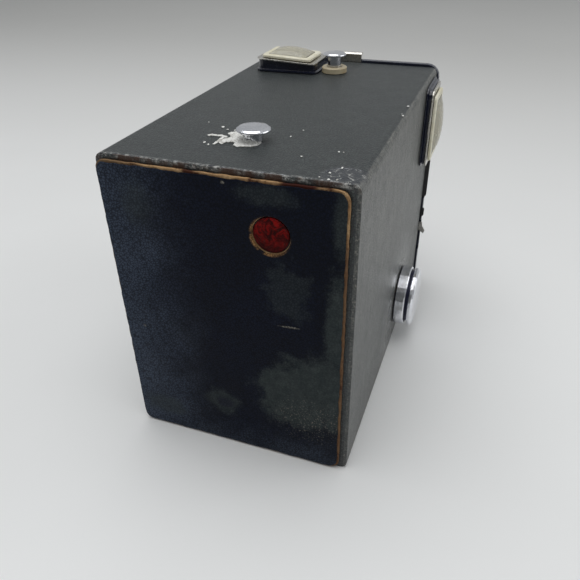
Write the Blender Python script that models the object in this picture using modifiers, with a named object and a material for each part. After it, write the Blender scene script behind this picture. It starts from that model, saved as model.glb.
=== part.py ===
"""Roll-film box camera with a slide-out film carrier.

Metres, +Z up. The origin is the centre of the flat bottom. Seen from behind the camera, +X is to
the right and +Y runs through the camera towards the lens.
"""

import math

import bmesh
import bpy
from mathutils import Vector

# Driving dimensions
CASE_WIDTH = 0.0812
CASE_HEIGHT = 0.1080
REAR_Y = -0.0685
CASE_FRONT_Y = 0.0652
FRONT_Y = 0.0685
WALL = 0.0026
BACK_WALL = 0.0024
GAP = 0.0003

LENS_Z = 0.0545
PANEL_WIDTH = 0.0783
PANEL_HEIGHT = 0.1060
PANEL_CORNER = 0.0030
PANEL_CENTRE = (-0.00115, 0.0535)
PANEL_THICKNESS = 0.0013
RED_WINDOW = (0.0154, 0.0902)
RED_WINDOW_RADIUS = 0.0058
WINDOW_SEAT_RADIUS = 0.0071
WINDOW_RING_BORE = 0.0048
CELLULOID_THICKNESS = 0.0006
CELLULOID_INSET = 0.0004

REAR_STUD = (0.0008, -0.0452)
FRONT_STUD = (0.0, 0.0450)
STUD_HEAD = 0.0015
STUD_HOLE_RADIUS = 0.0017
COLLAR_RADIUS = 0.0053
COLLAR_HEIGHT = 0.0022
KNOB_Y = 0.0175
KNOB_Z = 0.0205
KNOB_RADIUS = 0.0130

GATE_Y = -0.0598
GATE_WIDTH = 0.0570
GATE_HEIGHT = 0.0825
SPOOL_Y = KNOB_Y
SUPPLY_Z = 0.0885
ROLLER_Y = -0.0570
ROLLER_OFFSET = 0.0462
SIDE_INNER = 0.0329
SIDE_OUTER = 0.0371

FINDER_TOP_X = -0.0195
FINDER_SIDE_Z = 0.0893
FINDER_Y = 0.0493
HOOD_LENGTH = 0.0240
PANE_OFFSET_Y = -0.0026

CONTROL_PLANE_Y = 0.0661
CONTROL_THICKNESS = 0.0008
# Each slide as (inner x, outer x, low z, high z)
TIME_SLIDE = (0.0038, 0.0423, 0.0366, 0.0410)
CLOSEUP_SLIDE = (-0.0272, 0.0424, 0.0468, 0.0672)
CLOSEUP_HOLE = 0.0066
CLOSEUP_TRAVEL = 0.0160
LEVER_SLOT = (0.0180, 0.0344)
SHUTTER_PIVOT = (-0.0110, 0.0465)
LEVER_PIVOT = (0.0220, 0.0300)
LATCH_PIVOT = (0.0657, 0.1039)

HALF_WIDTH = CASE_WIDTH / 2
FACING_X = (math.pi / 2, 0.0, math.pi / 2)
FACING_Y = (math.pi / 2, 0.0, 0.0)
ALONG_X = (0.0, math.pi / 2, 0.0)
ALONG_Y = (-math.pi / 2, 0.0, 0.0)

# Colour, roughness and metallic value of each finish
FINISHES = {
    "leatherette": ((0.035, 0.038, 0.050), 0.55, 0.0),
    "black_enamel": ((0.020, 0.022, 0.030), 0.30, 0.0),
    "blackened_steel": ((0.050, 0.050, 0.055), 0.45, 0.6),
    "chrome": ((0.80, 0.80, 0.82), 0.18, 1.0),
    "nickel": ((0.66, 0.64, 0.60), 0.30, 1.0),
    "brass": ((0.70, 0.60, 0.40), 0.40, 1.0),
    "cream_enamel": ((0.62, 0.60, 0.47), 0.45, 0.0),
    "red_celluloid": ((0.18, 0.01, 0.01), 0.25, 0.0),
    "glass": ((0.75, 0.78, 0.74), 0.05, 0.0),
    "mirror_glass": ((0.85, 0.86, 0.88), 0.05, 1.0),
    "tinned_steel": ((0.45, 0.45, 0.46), 0.40, 0.9),
    "black_wood": ((0.045, 0.035, 0.030), 0.75, 0.0),
    "black_card": ((0.030, 0.030, 0.030), 0.90, 0.0),
    "spring_steel": ((0.30, 0.30, 0.32), 0.35, 1.0),
}


def clear_scene():
    for thing in list(bpy.data.objects):
        bpy.data.objects.remove(thing, do_unlink=True)


def make_collection(name):
    collection = bpy.data.collections.new(name)
    bpy.context.scene.collection.children.link(collection)
    return collection


def make_finish(name):
    colour, roughness, metallic = FINISHES[name]
    finish = bpy.data.materials.new(name)
    finish.use_nodes = True
    shader = finish.node_tree.nodes["Principled BSDF"]
    shader.inputs["Base Color"].default_value = (*colour, 1.0)
    shader.inputs["Roughness"].default_value = roughness
    shader.inputs["Metallic"].default_value = metallic
    return finish


clear_scene()
PARTS = make_collection("box_camera")
CUTTERS = make_collection("cutters")
FRONT_SECTION = bpy.data.objects.new("front_section", None)
PARTS.objects.link(FRONT_SECTION)


def add_object(name, mesh, finish, location=(0, 0, 0), rotation=(0, 0, 0)):
    """Link one sub-part, with a material of its own."""
    thing = bpy.data.objects.new(name, mesh)
    thing.location = location
    thing.rotation_euler = rotation
    PARTS.objects.link(thing)
    if finish:
        material = make_finish(finish)
        material.name = name
        mesh.materials.append(material)
    mesh.shade_smooth()
    mesh.set_sharp_from_angle(angle=math.radians(35))
    return thing


def on_front(*things):
    """These sub-parts travel with the front section."""
    for thing in things:
        thing.parent = FRONT_SECTION
    return things[0]


def mesh_from(bm, name):
    mesh = bpy.data.meshes.new(name)
    bm.to_mesh(mesh)
    bm.free()
    return mesh


def round_edges(thing, width, segments=2, angle=40):
    bevel = thing.modifiers.new("rounded_edges", "BEVEL")
    bevel.width = width
    bevel.segments = segments
    bevel.limit_method = "ANGLE"
    bevel.angle_limit = math.radians(angle)


def block(name, low, high, finish, rotation=(0, 0, 0)):
    """A rectangular solid between two corners, with its origin at its centre."""
    low, high = Vector(low), Vector(high)
    bm = bmesh.new()
    bmesh.ops.create_cube(bm, size=1.0)
    bmesh.ops.scale(bm, vec=high - low, verts=bm.verts)
    return add_object(name, mesh_from(bm, name), finish, (low + high) / 2, rotation)


def rounded_rectangle(width, height, radius, centre=(0, 0), steps=4):
    """Outline points, anticlockwise, with each corner an arc."""
    corners = ((1, 1, 0), (-1, 1, 90), (-1, -1, 180), (1, -1, 270))
    points = []
    for across, up, start in corners:
        for step in range(steps + 1):
            turn = math.radians(start + 90 * step / steps)
            points.append((
                centre[0] + across * (width / 2 - radius) + radius * math.cos(turn),
                centre[1] + up * (height / 2 - radius) + radius * math.sin(turn),
            ))
    return points


def circle(radius, centre=(0, 0), steps=24):
    turns = [2 * math.pi * step / steps for step in range(steps)]
    return [(centre[0] + radius * math.cos(t), centre[1] + radius * math.sin(t)) for t in turns]


def plate(name, outlines, thickness, finish, location=(0, 0, 0), rotation=(0, 0, 0)):
    """A flat outline, with holes as further outlines, extruded evenly about its own plane."""
    curve = bpy.data.curves.new(name, "CURVE")
    curve.dimensions = "2D"
    curve.fill_mode = "BOTH"
    curve.extrude = thickness / 2
    for outline in outlines:
        spline = curve.splines.new("POLY")
        spline.points.add(len(outline) - 1)
        for point, (across, up) in zip(spline.points, outline):
            point.co = (across, up, 0, 1)
        spline.use_cyclic_u = True
    return mesh_of_curve(name, curve, finish, location, rotation)


def mesh_of_curve(name, curve, finish, location=(0, 0, 0), rotation=(0, 0, 0)):
    """The closed mesh of a curve, with its caps welded on."""
    guide = bpy.data.objects.new(name + "_curve", curve)
    PARTS.objects.link(guide)
    bpy.context.view_layer.update()
    depsgraph = bpy.context.evaluated_depsgraph_get()
    mesh = bpy.data.meshes.new_from_object(guide.evaluated_get(depsgraph))
    mesh.materials.clear()
    bpy.data.objects.remove(guide, do_unlink=True)
    bm = bmesh.new()
    bm.from_mesh(mesh)
    bmesh.ops.remove_doubles(bm, verts=bm.verts, dist=0.000001)
    bmesh.ops.recalc_face_normals(bm, faces=bm.faces)
    bm.to_mesh(mesh)
    bm.free()
    return add_object(name, mesh, finish, location, rotation)


def turned(name, profile, finish, location=(0, 0, 0), rotation=(0, 0, 0), steps=32, ring=False):
    """A profile of (radius, height) points, down the outer side, spun about local Z."""
    mesh = bpy.data.meshes.new(name)
    points = [(radius, 0.0, height) for radius, height in profile]
    edges = [(i, i + 1) for i in range(len(points) - 1)]
    if ring:
        edges.append((len(points) - 1, 0))
    mesh.from_pydata(points, edges, [])
    thing = add_object(name, mesh, finish, location, rotation)
    screw = thing.modifiers.new("spin", "SCREW")
    screw.steps = steps
    screw.render_steps = steps
    screw.use_merge_vertices = True
    screw.merge_threshold = 0.000001
    return thing


def rod(name, radius, start, length, finish, rotation, steps=20):
    """A plain round pin from start along the turned axis."""
    profile = [(0, length), (radius, length), (radius, 0), (0, 0)]
    return turned(name, profile, finish, start, rotation, steps)


def wire(name, points, radius, finish):
    """A wire along a list of points."""
    curve = bpy.data.curves.new(name, "CURVE")
    curve.dimensions = "3D"
    curve.bevel_depth = radius
    curve.bevel_resolution = 2
    curve.use_fill_caps = True
    spline = curve.splines.new("POLY")
    spline.points.add(len(points) - 1)
    for point, place in zip(spline.points, points):
        point.co = (*place, 1)
    return mesh_of_curve(name, curve, finish)


def boolean(thing, tool, operation="DIFFERENCE"):
    """Cut or join with a tool object, which is kept out of the model."""
    for collection in list(tool.users_collection):
        collection.objects.unlink(tool)
    if tool.name not in CUTTERS.objects:
        CUTTERS.objects.link(tool)
    tool.hide_render = True
    tool.display_type = "WIRE"
    modifier = thing.modifiers.new(tool.name, "BOOLEAN")
    modifier.operation = operation
    modifier.object = tool
    return thing


def facing_y(name, outlines, near_y, far_y, finish):
    """A plate square to Y between two depths, its outline given in X and Z."""
    middle = (0, (near_y + far_y) / 2, 0)
    return plate(name, outlines, far_y - near_y, finish, middle, FACING_Y)


def facing_x(name, outlines, near_x, far_x, finish):
    """A plate square to X between two positions, its outline given in Y and Z."""
    middle = ((near_x + far_x) / 2, 0, 0)
    return plate(name, outlines, far_x - near_x, finish, middle, FACING_X)


# ---------------------------------------------------------------- case

def make_case():
    outline = rounded_rectangle(CASE_WIDTH, CASE_HEIGHT, 0.0024, (0, CASE_HEIGHT / 2))
    shell = facing_y("case_shell", [outline], REAR_Y, CASE_FRONT_Y, "leatherette")
    round_edges(shell, 0.0008)
    inner = rounded_rectangle(
        CASE_WIDTH - 2 * WALL, CASE_HEIGHT - 2 * WALL, 0.0012, (0, CASE_HEIGHT / 2), 2)
    room = facing_y("case_room", [inner], REAR_Y + BACK_WALL, CASE_FRONT_Y + 0.01, None)
    boolean(shell, room)
    seat = circle(WINDOW_SEAT_RADIUS, RED_WINDOW, 32)
    boolean(shell, facing_y("window_seat", [seat], REAR_Y - 0.002, REAR_Y + 0.005, None))
    for label, (x, y) in (("rear", REAR_STUD), ("front", FRONT_STUD)):
        hole = rod(label + "_stud_hole", STUD_HOLE_RADIUS, (x, y, CASE_HEIGHT - 0.006), 0.012,
                   None, (0, 0, 0))
        boolean(shell, hole)
    place = (HALF_WIDTH - 0.006, KNOB_Y, KNOB_Z)
    boolean(shell, rod("bush_hole", 0.0048, place, 0.012, None, ALONG_X, 32))
    reach = 0.0100
    low = (FINDER_TOP_X - reach, FINDER_Y - reach, CASE_HEIGHT - 0.005)
    high = (FINDER_TOP_X + reach, FINDER_Y + reach, CASE_HEIGHT + 0.002)
    boolean(shell, block("top_finder_opening", low, high, None))
    tall = reach + 0.0015
    low = (HALF_WIDTH - 0.005, FINDER_Y - reach, FINDER_SIDE_Z - tall)
    high = (HALF_WIDTH + 0.002, FINDER_Y + reach, FINDER_SIDE_Z + tall)
    boolean(shell, block("side_finder_opening", low, high, None))


def make_rear_panel():
    outline = rounded_rectangle(PANEL_WIDTH, PANEL_HEIGHT, PANEL_CORNER, PANEL_CENTRE)
    hole = circle(RED_WINDOW_RADIUS, RED_WINDOW, 40)
    outer = REAR_Y - GAP - PANEL_THICKNESS
    panel = facing_y("rear_panel", [outline, hole], outer, REAR_Y - GAP, "leatherette")
    round_edges(panel, 0.0003, 1)


def make_red_window():
    """The celluloid sits in the panel's hole, with a ring behind its rim."""
    near = REAR_Y - GAP - PANEL_THICKNESS + CELLULOID_INSET
    disc = [circle(RED_WINDOW_RADIUS - GAP, RED_WINDOW, 32)]
    facing_y("red_window", disc, near, near + CELLULOID_THICKNESS, "red_celluloid")
    outlines = [circle(WINDOW_SEAT_RADIUS - GAP, RED_WINDOW, 32),
                circle(WINDOW_RING_BORE, RED_WINDOW, 32)]
    facing_y("window_ring", outlines, REAR_Y, REAR_Y + 0.0012, "blackened_steel")


def make_stud(name, centre, neck, head_radius, neck_radius):
    """A flat-headed strap stud; neck is the height of the head's underside."""
    tail = -WALL - 0.0016
    crown = neck + STUD_HEAD
    profile = [
        (0, crown),
        (head_radius * 0.55, crown - 0.0001),
        (head_radius * 0.85, crown - 0.0004),
        (head_radius * 0.97, crown - 0.0008),
        (head_radius, crown - 0.0011),
        (head_radius * 0.96, neck),
        (neck_radius, neck - 0.0003),
        (neck_radius, GAP),
        (0.0013, GAP),
        (0.0013, tail),
        (0, tail),
    ]
    turned(name, profile, "chrome", (*centre, CASE_HEIGHT), steps=32)
    washer = [(0.0040, 0.0006), (0.0040, 0), (0.0016, 0), (0.0016, 0.0006)]
    under = (*centre, CASE_HEIGHT - WALL - 0.0009)
    turned(name + "_washer", washer, "tinned_steel", under, steps=20, ring=True)


def make_studs():
    make_stud("rear_stud", REAR_STUD, 0.0032, 0.0054, 0.0028)
    make_stud("front_stud", FRONT_STUD, 0.0068, 0.0049, 0.0028)
    collar = [
        (COLLAR_RADIUS - 0.0004, COLLAR_HEIGHT),
        (COLLAR_RADIUS, COLLAR_HEIGHT - 0.0004),
        (COLLAR_RADIUS, 0),
        (0.0031, 0),
        (0.0031, COLLAR_HEIGHT),
    ]
    place = (*FRONT_STUD, CASE_HEIGHT + GAP)
    turned("front_stud_collar", collar, "cream_enamel", place, ring=True)


def loft_ring(name, loops, finish, location, rotation):
    """A closed ring through outlines of equal count, as (outline, height, lean) rows."""
    bm = bmesh.new()
    rows = []
    for outline, height, lean in loops:
        rows.append([bm.verts.new((x, y, height - lean * x)) for x, y in outline])
    count = len(rows[0])
    for lower, upper in zip(rows, rows[1:] + rows[:1]):
        for i in range(count):
            j = (i + 1) % count
            bm.faces.new((lower[i], lower[j], upper[j], upper[i]))
    bmesh.ops.recalc_face_normals(bm, faces=bm.faces)
    return add_object(name, mesh_from(bm, name), finish, location, rotation)


def make_finder(label, location, rotation, across, height, lean):
    """Hood, lip, frame and domed glass. Local X runs across, local Y forward, local Z outward.

    across is the frame's width, height the hood's, and lean the slope of everything above it.
    """
    shift = (0, PANE_OFFSET_Y)
    depth = 0.0176
    band = 0.0044
    opening = rounded_rectangle(across - band, depth - band, 0.0010, shift)
    skirt = rounded_rectangle(across + 0.0060, HOOD_LENGTH, 0.0030)
    wall = rounded_rectangle(across + 0.0044, HOOD_LENGTH - 0.0016, 0.0026)
    top = GAP + height
    loops = [
        (opening, GAP, 0),
        (skirt, GAP, 0),
        (skirt, GAP + 0.0005, 0),
        (wall, GAP + 0.0009, 0),
        (wall, top, lean),
        (opening, top, lean),
    ]
    loft_ring(label + "_finder_hood", loops, "black_enamel", location, rotation)
    lip_low = top + GAP
    lip_high = lip_low + 0.0006
    edge = rounded_rectangle(across + 0.0046, depth + 0.0030, 0.0024, (0, PANE_OFFSET_Y + 0.0005))
    loops = [
        (opening, lip_low, lean),
        (edge, lip_low, lean),
        (edge, lip_high, lean),
        (opening, lip_high, lean),
    ]
    loft_ring(label + "_finder_lip", loops, "nickel", location, rotation)
    frame_low = lip_high + GAP
    frame_high = frame_low + 0.0012
    edge = rounded_rectangle(across, depth, 0.0016, shift)
    face = rounded_rectangle(across - 0.0010, depth - 0.0010, 0.0012, shift)
    loops = [
        (opening, frame_low, lean),
        (edge, frame_low, lean),
        (edge, frame_high - 0.0004, lean),
        (face, frame_high, lean),
        (opening, frame_high, lean),
    ]
    loft_ring(label + "_finder_frame", loops, "cream_enamel", location, rotation)
    half_across = (across - band) / 2 - GAP
    half_depth = (depth - band) / 2 - GAP
    bm = bmesh.new()
    bmesh.ops.create_grid(bm, x_segments=8, y_segments=8, size=1.0)
    for vert in bm.verts:
        x, y = vert.co.x, vert.co.y
        crown = 0.0024 * ((1 - x * x) * (1 - y * y)) ** 0.6
        across_x = x * half_across
        vert.co = (across_x, y * half_depth + PANE_OFFSET_Y, frame_high + crown - lean * across_x)
    glass = add_object(
        label + "_finder_glass", mesh_from(bm, "dome"), "glass", location, rotation)
    thick = glass.modifiers.new("thickness", "SOLIDIFY")
    thick.thickness = 0.0010
    thick.offset = -1


# ------------------------------------------------------------- winding

def make_winding():
    face = HALF_WIDTH
    place = (face, KNOB_Y, KNOB_Z)
    plate_ring = [(0.0090, 0.0004), (0.0090, 0), (0.0052, 0), (0.0052, 0.0004)]
    start = (face + 0.0002, KNOB_Y, KNOB_Z)
    turned("knob_plate", plate_ring, "nickel", start, ALONG_X, 24, ring=True)
    bush = [(0.0045, 0.0005), (0.0045, -0.0024), (0.0026, -0.0024), (0.0026, 0.0005)]
    turned("winding_bush", bush, "brass", place, ALONG_X, 24, ring=True)
    bore, bore_end = 0.0026, 0.0066
    rim, groove = KNOB_RADIUS, 0.0114
    knob = [
        (0, 0.0084),
        (rim - 0.0022, 0.0084),
        (rim - 0.0007, 0.0080),
        (rim, 0.0073),
        (rim, 0.0065),
        (rim - 0.0006, 0.0060),
        (groove, 0.0058),
        (groove, 0.0049),
        (rim - 0.0004, 0.0047),
        (rim, 0.0043),
        (rim, 0.0006),
        (rim - 0.0008, 0.0003),
        (0.0096, 0.0003),
        (0.0096, 0.0010),
        (bore, 0.0010),
        (bore, bore_end),
        (0, bore_end),
    ]
    turned("winding_knob", knob, "chrome", place, ALONG_X, 40)
    tip = 0.0322
    start = (tip, KNOB_Y, KNOB_Z)
    shaft = rod("winding_shaft", 0.0023, start, face + 0.0063 - tip, "nickel", ALONG_X)
    blade = 0.0006
    for label, side in (("upper", 1), ("lower", -1)):
        near, far = sorted((side * blade, side * 0.004))
        low = (tip - 0.001, KNOB_Y - 0.004, KNOB_Z + near)
        high = (tip + 0.003, KNOB_Y + 0.004, KNOB_Z + far)
        boolean(shaft, block(label + "_key_flat", low, high, None))


# ------------------------------------------------------- front section

def make_front_shell():
    height = CASE_HEIGHT + 0.001
    outline = rounded_rectangle(CASE_WIDTH + 0.002, height, 0.0055, (0, height / 2), 5)
    shell = facing_y("front_shell", [outline], FRONT_Y - 0.003, FRONT_Y, "black_enamel")
    round_edges(shell, 0.0007)
    web_back = FRONT_Y - 0.0012
    pocket = rounded_rectangle(CASE_WIDTH - 0.0016, height - 0.0038, 0.0042, (0, height / 2), 3)
    boolean(shell, facing_y("front_pocket", [pocket], FRONT_Y - 0.01, web_back, None))
    low_y, high_y = FRONT_Y - 0.004, web_back - 0.0001
    slots = {"lever": LEVER_SLOT}
    for label, extent in (("time", TIME_SLIDE), ("closeup", CLOSEUP_SLIDE)):
        slots[label] = (extent[2] - GAP, extent[3] + GAP)
    for label, (low_z, high_z) in slots.items():
        low = (HALF_WIDTH - 0.0015, low_y, low_z)
        high = (HALF_WIDTH + 0.0020, high_y, high_z)
        boolean(shell, block(label + "_slot", low, high, None))
    low, high = (-0.0068, low_y, 0.1040), (0.0068, high_y, 0.1100)
    boolean(shell, block("latch_notch", low, high, None))
    for side in (-1, 1):
        inner, outer = sorted((side * 0.0074, side * 0.0088))
        ear = block(f"latch_ear_{side}", (inner, 0.0643, 0.1024),
                    (outer, web_back + 0.0004, 0.1050), None)
        boolean(shell, ear, "UNION")
    start = (-0.0095, LATCH_PIVOT[0], LATCH_PIVOT[1])
    boolean(shell, rod("latch_pin_holes", 0.0009, start, 0.019, None, ALONG_X, 16))
    holes = [("lens_opening", 0.0115, (0, LENS_Z)), ("top_finder_port", 0.0050, top_port()),
             ("side_finder_port", 0.0050, side_port())]
    for label, radius, centre in holes:
        tool = [circle(radius, centre, 32)]
        boolean(shell, facing_y(label, tool, FRONT_Y - 0.004, FRONT_Y + 0.004, None))
    return shell


def top_port():
    return FINDER_TOP_X, 0.0925


def side_port():
    return 0.0245, FINDER_SIDE_Z


def make_front_face():
    front = FRONT_Y + GAP
    outline = rounded_rectangle(0.0740, 0.1010, 0.0040, (0, LENS_Z))
    holes = [circle(0.0115, (0, LENS_Z), 32)]
    holes += [circle(0.0052, centre, 24) for centre in (top_port(), side_port())]
    face = facing_y("front_plate", [outline] + holes, front, front + 0.0010, "black_enamel")
    round_edges(face, 0.0003, 1)
    flange = 0.0015
    bezel_profile = [
        (0.0138, 0.0043),
        (0.0150, 0.0036),
        (0.0150, flange + 0.0001),
        (0.0112, flange + 0.0001),
        (0.0112, -0.0011),
        (0.0092, -0.0011),
        (0.0092, 0.0018),
        (0.0126, 0.0043),
    ]
    centre = (0, FRONT_Y, LENS_Z)
    bezel = turned("lens_bezel", bezel_profile, "chrome", centre, ALONG_Y, ring=True)
    pane_profile = [(0, 0.0005), (0.0089, 0.0003), (0.0089, -0.0009), (0, -0.0009)]
    pane = turned("lens_window", pane_profile, "glass", centre, ALONG_Y)
    on_front(make_front_shell(), face, bezel, pane)
    for label, (x, z) in (("top", top_port()), ("side", side_port())):
        bulge = [(0, 0.0014), (0.0024, 0.0011), (0.0046, 0.0002), (0.0046, -0.0014), (0, -0.0014)]
        place = (x, FRONT_Y, z)
        on_front(turned("finder_lens_" + label, bulge, "glass", place, ALONG_Y, 24))


def make_latch():
    """Finger tab above the edge, hook under the case's top wall, both about one pin."""
    y, z = LATCH_PIVOT
    eye = [(0.0012 * math.cos(math.radians(a)), 0.0012 * math.sin(math.radians(a)))
           for a in (-110, -70, -30, 10)]
    hook = [
        (0.0013, 0.0010),
        (0.0013, 0.0068),
        (0.0032, 0.0071),
        (0.0034, 0.0078),
        (0.0010, 0.0080),
        (0.0004, 0.0074),
        (0.0004, 0.0016),
        (-0.0004, 0.0011),
        (-0.0012, -0.0003),
        (-0.0070, -0.0003),
        (-0.0072, 0.0011),
        (-0.0078, 0.0011),
        (-0.0084, -0.0012),
    ]
    bore = circle(0.0009, (0, 0), 16)
    latch = plate("front_latch", [eye + hook, bore], 0.0130, "nickel", (0, y, z), FACING_X)
    start = (-0.0090, y, z)
    pin = rod("latch_pin", 0.0006, start, 0.0180, "blackened_steel", ALONG_X, 16)
    on_front(latch, pin)


def slide_outline(extent, corner):
    inner, outer, low, high = extent
    centre = ((inner + outer) / 2, (low + high) / 2)
    return rounded_rectangle(outer - inner, high - low, corner, centre, 3)


def make_controls():
    """Release lever, time slide and close-up slide, side by side in one plane."""
    near, far = CONTROL_PLANE_Y, CONTROL_PLANE_Y + CONTROL_THICKNESS
    middle_y = (near + far) / 2
    x, z = LEVER_PIVOT
    arm = [
        (0.0190, -0.0014),
        (0.0212, -0.0030),
        (0.0218, -0.0014),
        (0.0203, 0.0010),
        (0.0200, 0.0030),
        (0.0180, 0.0030),
    ]
    bend = [(0.0036 * math.cos(math.radians(a)), 0.0036 * math.sin(math.radians(a)))
            for a in (70, 110)]
    tail = [(-0.0072, 0.0018), (-0.0080, 0.0010), (-0.0080, -0.0010), (-0.0072, -0.0018)]
    outline = arm + bend + tail + [(0.0, -0.0034), (0.0150, -0.0020)]
    lever = plate("release_lever", [outline, circle(0.0015, (0, 0), 16)], far - near,
                  "nickel", (x, middle_y, z), FACING_Y)
    pivot_profile = [(0, 0.0035), (0.0024, 0.0035), (0.0024, 0.0033), (0.0012, 0.0033),
                     (0.0012, -0.0008), (0, -0.0008)]
    place = (x, CONTROL_PLANE_Y - 0.0024, z)
    pivot = turned("lever_pivot", pivot_profile, "brass", place, ALONG_Y, 20)
    outline = slide_outline(TIME_SLIDE, 0.0008)
    time_slide = facing_y("time_slide", [outline], near, far, "blackened_steel")
    outline = slide_outline(CLOSEUP_SLIDE, 0.0016)
    holes = [circle(CLOSEUP_HOLE, (x_hole, LENS_Z), 28) for x_hole in (0, -CLOSEUP_TRAVEL)]
    closeup = facing_y("closeup_slide", [outline] + holes, near, far, "blackened_steel")
    rim = CLOSEUP_HOLE - GAP
    bulge = [(0, 0.0007), (rim, 0.0003), (rim, -0.0004), (0, -0.0004)]
    place = (-CLOSEUP_TRAVEL, middle_y, LENS_Z)
    extra = turned("closeup_lens", bulge, "glass", place, ALONG_Y, 28)
    on_front(lever, pivot, time_slide, closeup, extra)
    make_lever_spring()


def make_lever_spring():
    x, z = LEVER_PIVOT
    y = CONTROL_PLANE_Y - 0.0008
    radius = 0.0026
    turns = [math.radians(a) for a in range(-60, 241, 20)]
    loop = [(x + radius * math.cos(t), y, z + radius * math.sin(t)) for t in turns]
    start = (loop[0][0] + 0.0070, y, loop[0][2] - 0.0022)
    end = (loop[-1][0] - 0.0050, y, loop[-1][2] - 0.0045)
    on_front(wire("lever_spring", [start] + loop + [end], 0.0003, "spring_steel"))


def make_shutter():
    board_near, board_far = 0.0636, 0.0646
    outline = rounded_rectangle(0.0748, 0.0713, 0.0020, (0, 0.03885), 2)
    holes = [circle(0.0050, (0, LENS_Z), 28), circle(0.0015, SHUTTER_PIVOT, 16),
             circle(0.0015, LEVER_PIVOT, 16)]
    board = facing_y("shutter_board", [outline] + holes, board_near, board_far, "tinned_steel")
    disc_y = 0.0652
    x, z = SHUTTER_PIVOT
    reach = math.hypot(x, LENS_Z - z)
    bearing = math.atan2(LENS_Z - z, -x) + math.radians(45)
    port = (reach * math.cos(bearing), reach * math.sin(bearing))
    outlines = [circle(0.0200, (0, 0), 48), circle(0.0050, port, 28), circle(0.0015, (0, 0), 16)]
    disc = plate("shutter_disc", outlines, 0.0005, "blackened_steel", (x, disc_y, z), FACING_Y)
    pivot_profile = [(0, 0.0006), (0.0024, 0.0006), (0.0024, 0.0004), (0.0012, 0.0004),
                     (0.0012, -0.0022), (0, -0.0022)]
    pivot = turned("shutter_pivot", pivot_profile, "brass", (x, disc_y, z), ALONG_Y, 20)
    on_front(board, disc, pivot)


def make_taking_lens():
    outline = rounded_rectangle(0.0652, 0.0700, 0.0010, (0, 0.0392), 2)
    hole = circle(0.0062, (0, LENS_Z), 28)
    board = facing_y("lens_board", [outline, hole], 0.0440, 0.0450, "black_card")
    cell_profile = [(0.0100, 0.0044), (0.0100, 0), (0.0070, 0), (0.0070, 0.0010),
                    (0.0079, 0.0010), (0.0079, 0.0044)]
    place = (0, 0.0453, LENS_Z)
    cell = turned("lens_cell", cell_profile, "brass", place, ALONG_Y, ring=True)
    meniscus = [(0, 0.0022), (0.0040, 0.0026), (0.0076, 0.0038), (0.0076, 0.0013),
                (0.0040, 0.0003), (0, 0)]
    place = (0, 0.0453, LENS_Z)
    lens = turned("lens_element", meniscus, "glass", place, ALONG_Y)
    on_front(board, cell, lens)


def make_finder_box(label, low, high, open_side, port, mirror_turn):
    """A thin box, open towards its window, with a mirror set across it at 45 degrees."""
    wall = 0.0008
    low, high = Vector(low), Vector(high)
    box = block("finder_box_" + label, low, high, "tinned_steel")
    room_low = low + Vector((wall, wall, wall))
    room_high = high - Vector((wall, wall, wall))
    room_high[open_side] = high[open_side]
    centre = (room_low + room_high) / 2
    room_high[open_side] += 0.004
    boolean(box, block("finder_room_" + label, room_low, room_high, None))
    tool = [circle(0.0056, port, 24)]
    boolean(box, facing_y("finder_port_" + label, tool, high.y - 0.004, high.y + 0.004, None))
    half = Vector((0.0110, 0.0150, 0.0005)) if open_side == 2 else Vector((0.0005, 0.0150, 0.0110))
    mirror = block("finder_mirror_" + label, centre - half, centre + half, "mirror_glass",
                   mirror_turn)
    on_front(box, mirror)


def make_finder_boxes():
    half = 0.0122
    near, far = 0.0375, 0.0643
    low = (FINDER_TOP_X - half, near, 0.0790)
    high = (FINDER_TOP_X + half, far, 0.1047)
    turn = (-math.pi / 4, 0, 0)
    make_finder_box("top", low, high, 2, top_port(), turn)
    low = (0.0120, near, FINDER_SIDE_Z - half)
    high = (0.0376, far, FINDER_SIDE_Z + half)
    turn = (0, 0, math.pi / 4)
    make_finder_box("side", low, high, 0, side_port(), turn)


# -------------------------------------------------------- film carrier

def make_cone():
    """Four tapering walls from the picture gate to the lens."""
    rear = rounded_rectangle(0.0570, 0.0826, 0.0010, (0, LENS_Z), 1)
    front = rounded_rectangle(0.0160, 0.0160, 0.0010, (0, LENS_Z), 1)
    bm = bmesh.new()
    rows = []
    for outline, y in ((rear, GATE_Y + 0.0014), (front, 0.0437)):
        rows.append([bm.verts.new((x, y, z)) for x, z in outline])
    count = len(rear)
    for i in range(count):
        j = (i + 1) % count
        bm.faces.new((rows[0][i], rows[0][j], rows[1][j], rows[1][i]))
    bmesh.ops.recalc_face_normals(bm, faces=bm.faces)
    cone = add_object("light_cone", mesh_from(bm, "cone"), "blackened_steel")
    walls = cone.modifiers.new("walls", "SOLIDIFY")
    walls.thickness = 0.0006
    walls.offset = 0
    return cone


def make_gate():
    outline = rounded_rectangle(0.0652, 0.0862, 0.0010, (0, LENS_Z), 2)
    opening = rounded_rectangle(GATE_WIDTH, GATE_HEIGHT, 0.0010, (0, LENS_Z), 2)
    near = GATE_Y
    return facing_y("film_gate", [outline, opening], near, near + 0.0010, "blackened_steel")


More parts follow.
